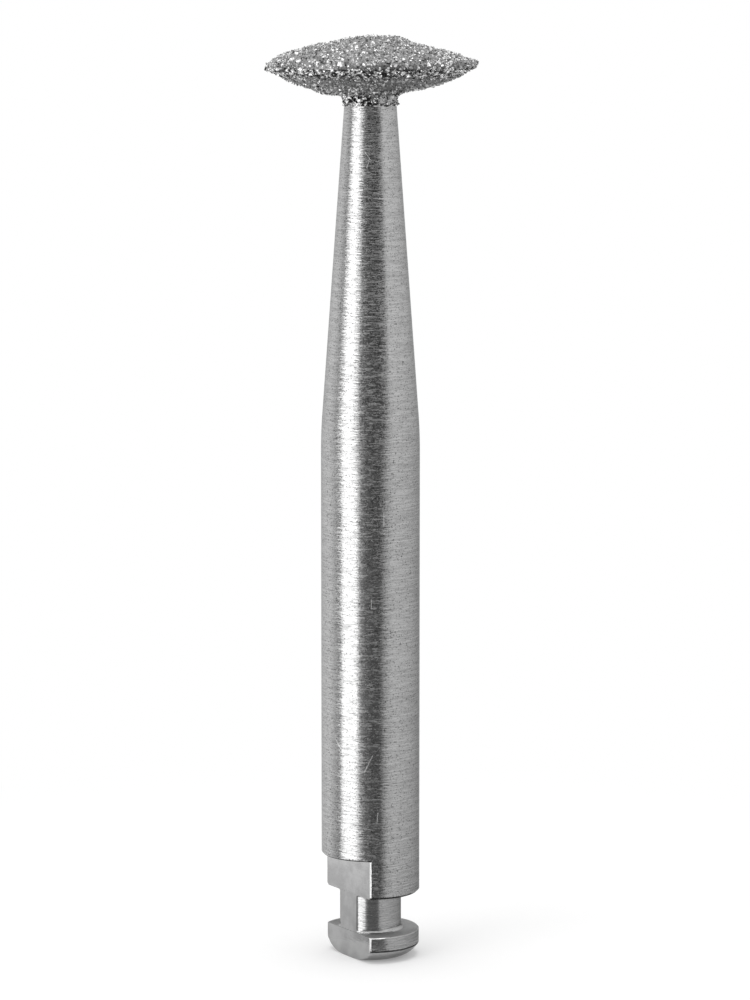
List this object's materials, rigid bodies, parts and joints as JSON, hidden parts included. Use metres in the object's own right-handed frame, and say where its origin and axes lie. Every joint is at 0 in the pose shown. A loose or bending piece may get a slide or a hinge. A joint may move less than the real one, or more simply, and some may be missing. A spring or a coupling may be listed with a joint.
{
  "type": "dental bur",
  "caption": "Latch-type dental bur with a wide lens-shaped diamond head on a tapered neck, and a grooved, flatted steel shank.",
  "frame": {"origin": "centre of the flat land at the end of the foot", "axes": "+Z along the turning axis towards the head, -Y out of the drive flat"},
  "size_m": [0.005, 0.005, 0.022],
  "materials": {
    "steel": "bright fine-turned stainless steel",
    "diamond_coat": "coarse diamond grit in grey nickel"
  },
  "bodies": {
    "root": {"steel_blank": "steel", "diamond_coating": "diamond_coat"}
  },
  "joints": []
}
